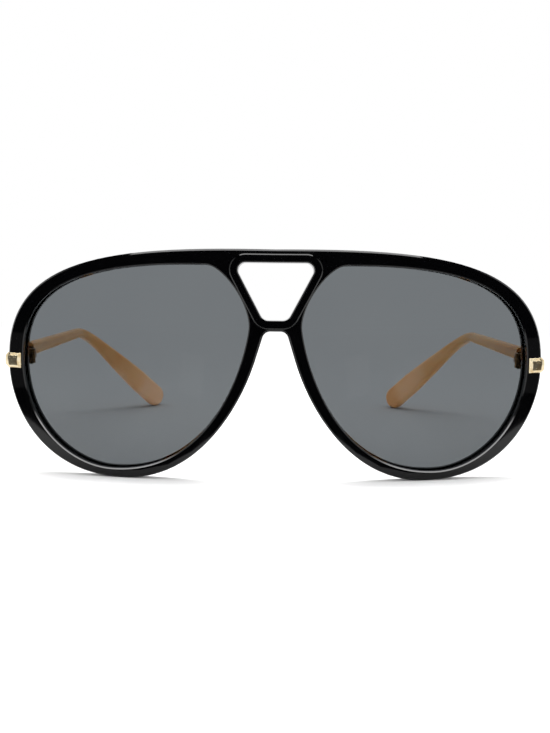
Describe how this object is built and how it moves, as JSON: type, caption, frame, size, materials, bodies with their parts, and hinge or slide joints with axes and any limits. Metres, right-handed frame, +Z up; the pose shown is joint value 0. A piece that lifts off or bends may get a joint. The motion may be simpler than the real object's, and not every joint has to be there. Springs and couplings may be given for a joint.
{
  "type": "sunglasses",
  "caption": "Oversized pilot sunglasses with a double keyhole bridge, grey lenses, gilt end pieces and slim folding temples.",
  "frame": {"origin": "on the surface it stands on, under the middle of the open sunglasses", "axes": "+Z up, +Y from the front back to the ear tips, +X across, to the right seen from the front"},
  "size_m": [0.1506, 0.1308, 0.0639],
  "materials": {
    "black_acetate": "tumbled and polished black acetate",
    "smoke_lens": "evenly tinted neutral grey plastic lens",
    "gilt_metal": "polished pale gold plating",
    "hinge_metal": "gold-flashed nickel silver, darker than the end pieces",
    "steel": "turned steel screw",
    "honey_acetate": "polished translucent honey acetate",
    "core_wire": "drawn nickel silver wire"
  },
  "bodies": {
    "front": {"frame_front": "black_acetate", "lens_left": "smoke_lens", "lens_right": "smoke_lens", "nose_pad_left": "black_acetate", "nose_pad_right": "black_acetate", "end_piece_left": "gilt_metal", "end_piece_right": "gilt_metal", "end_piece_screw_left": "steel", "end_piece_screw_right": "steel", "hinge_front_leaf_left": "hinge_metal", "hinge_front_leaf_right": "hinge_metal", "hinge_screw_left": "steel", "hinge_screw_right": "steel"},
    "temple_left": {"hinge_temple_leaf_left": "hinge_metal", "temple_left": "honey_acetate", "temple_core_left": "core_wire"},
    "temple_right": {"hinge_temple_leaf_right": "hinge_metal", "temple_right": "honey_acetate", "temple_core_right": "core_wire"}
  },
  "joints": [
    {"name": "hinge_left", "type": "hinge", "parent": "front", "child": "temple_left", "pos_m": [-0.06925, -0.04326, 0.0317], "axis": [0, 0, -1], "range_deg": [0, 79]},
    {"name": "hinge_right", "type": "hinge", "parent": "front", "child": "temple_right", "pos_m": [0.06925, -0.04326, 0.0317], "axis": [0, 0, 1], "range_deg": [0, 70]}
  ]
}
